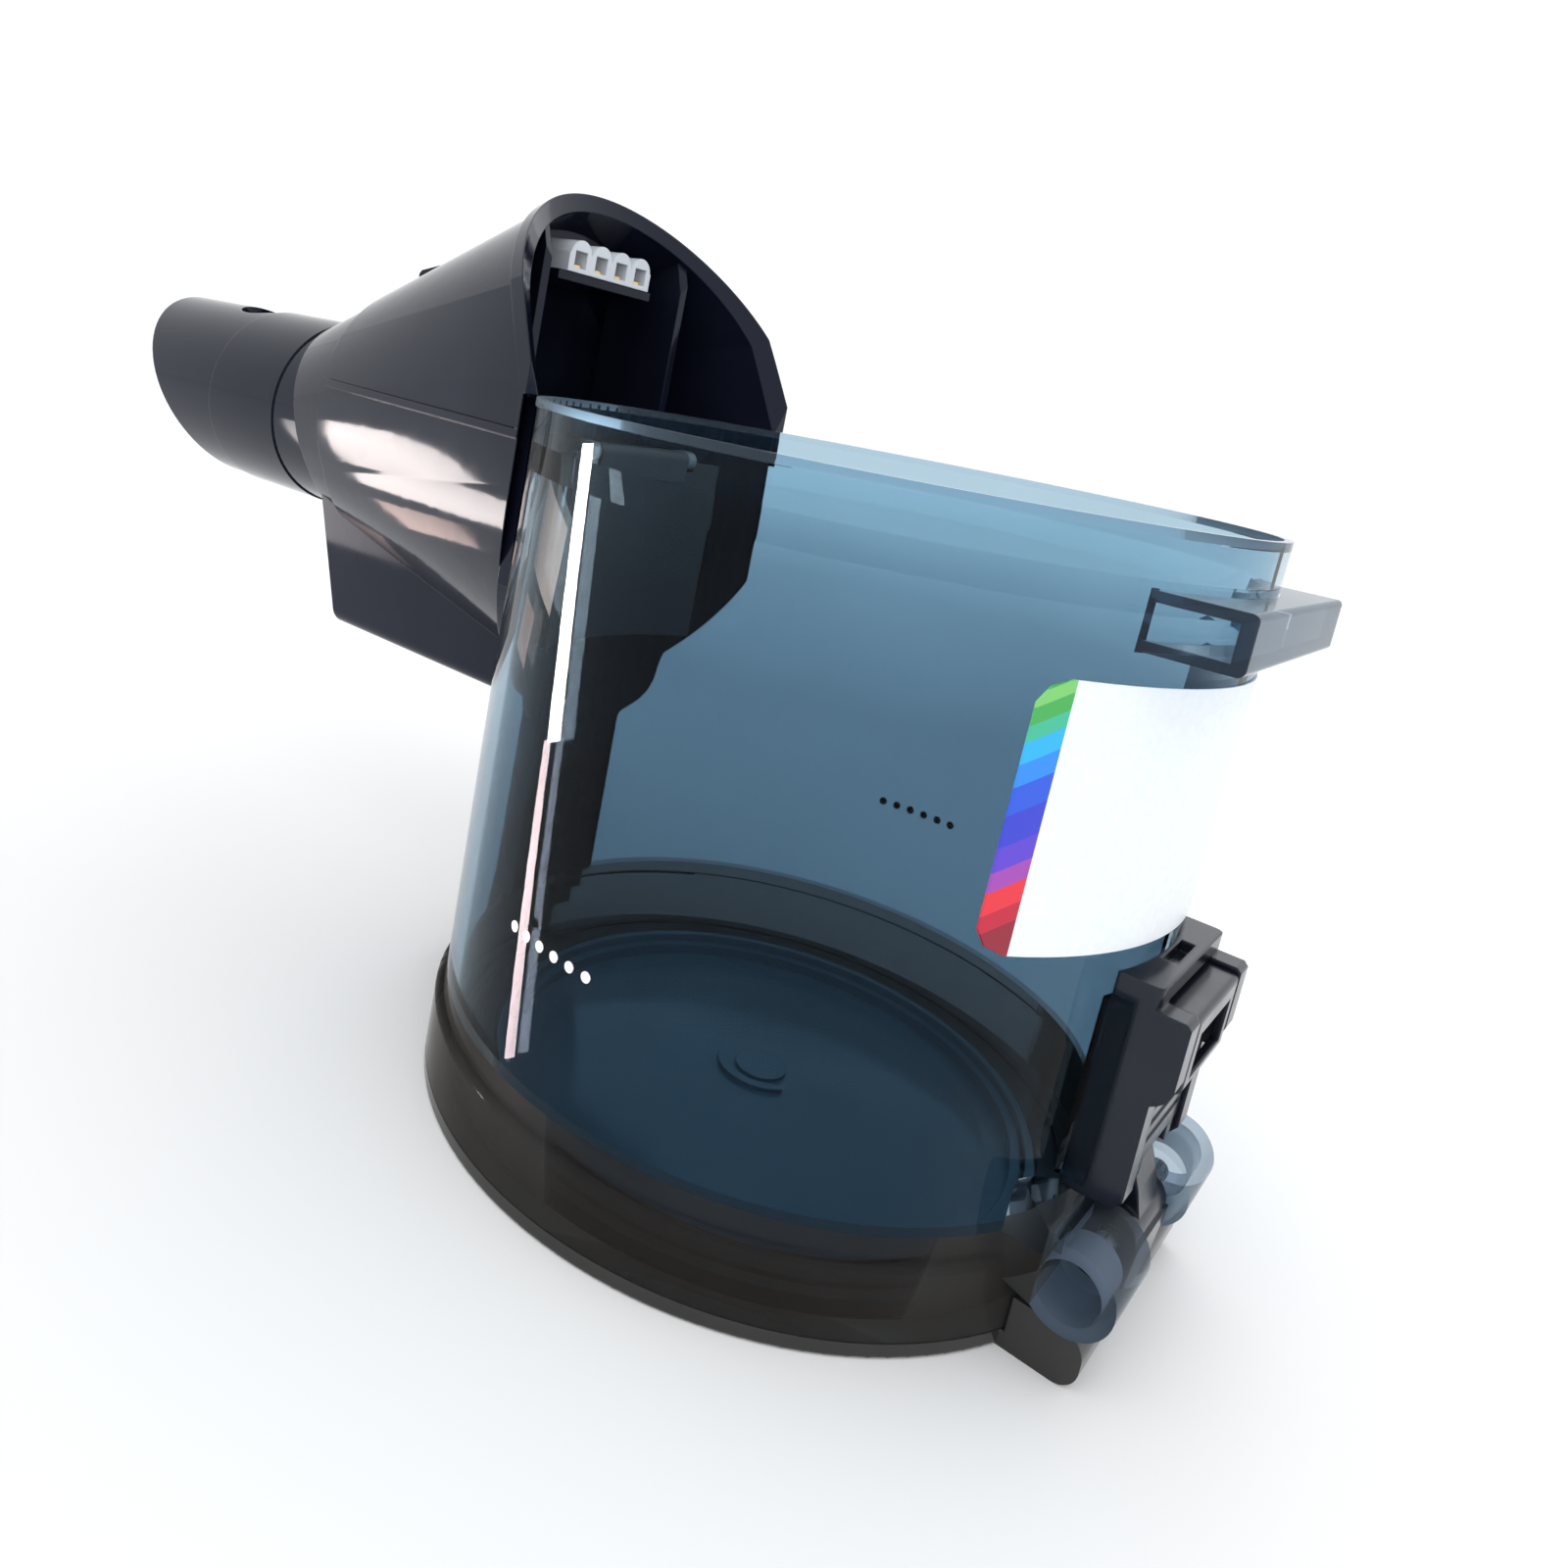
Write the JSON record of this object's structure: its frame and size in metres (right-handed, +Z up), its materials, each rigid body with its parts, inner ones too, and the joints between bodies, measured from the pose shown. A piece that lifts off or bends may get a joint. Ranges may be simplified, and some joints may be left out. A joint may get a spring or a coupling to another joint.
{
  "type": "vacuum dust cup",
  "caption": "Dust cup of a cordless stick vacuum: clear tinted cup with a glossy inlet duct and hood, wand tube, drop-open bottom lid and rear release latch.",
  "frame": {"origin": "centre of the flat underside of the bottom lid, on the cup's axis", "axes": "+Z up along the cup's axis through its open mouth, -X along the wand tube, +X through the release latch and the lug"},
  "size_m": [0.2567, 0.1092, 0.1391],
  "materials": {
    "smoke_plastic": "clear, tinted, moulded",
    "lid_plastic": "dark tinted, moulded",
    "dark_plastic": "high gloss",
    "latch_plastic": "satin gloss",
    "grey_plastic": "matt",
    "seal_rubber": "soft matt",
    "flap_rubber": "soft matt",
    "label_white": "printed film",
    "mark_white": "printed",
    "connector_white": "moulded",
    "contact_brass": "plated",
    "steel": "bright"
  },
  "bodies": {
    "cup": {"cup_shell": "smoke_plastic", "rear_label": "label_white", "level_marks": "mark_white", "lid_hinge_pin": "steel", "inlet_duct": "dark_plastic", "hood_cover": "dark_plastic", "hood_screws": "steel", "saddle_plate": "dark_plastic", "strip_screws": "steel", "inlet_gasket": "seal_rubber", "flap_hinge": "grey_plastic", "connector_block": "connector_white", "connector_contacts": "contact_brass", "terminal_socket": "grey_plastic", "terminal_pins": "contact_brass", "latch_housing": "latch_plastic", "housing_screws": "steel", "slider_spring": "steel", "catch_pin": "steel"},
    "lid": {"bottom_lid": "lid_plastic", "lid_seal": "seal_rubber"},
    "slider": {"release_slider": "latch_plastic"},
    "catch": {"lid_catch": "latch_plastic"},
    "flap": {"inlet_flap": "flap_rubber"}
  },
  "joints": [
    {"name": "lid_hinge", "type": "hinge", "parent": "cup", "child": "lid", "pos_m": [-0.06, 0, 0.0062], "axis": [0, 1, 0], "range_deg": [0, 95]},
    {"name": "slider_press", "type": "slide", "parent": "cup", "child": "slider", "axis": [0, 0, -1], "range_m": [0, 0.004], "stiffness_N_per_m": 1200, "springref_m": -0.002, "deforming": ["slider_spring"]},
    {"name": "catch_rock", "type": "hinge", "parent": "cup", "child": "catch", "pos_m": [0.0573, 0, 0.0132], "axis": [0, -1, 0], "range_deg": [0, 10]},
    {"name": "flap_hinge", "type": "hinge", "parent": "cup", "child": "flap", "pos_m": [-0.0483, 0, 0.0962], "axis": [0, -1, 0], "range_deg": [0, 50]}
  ],
  "couplings": [
    {"joint": "catch_rock", "follows": "slider_press", "rad_per_m": 43.6}
  ]
}
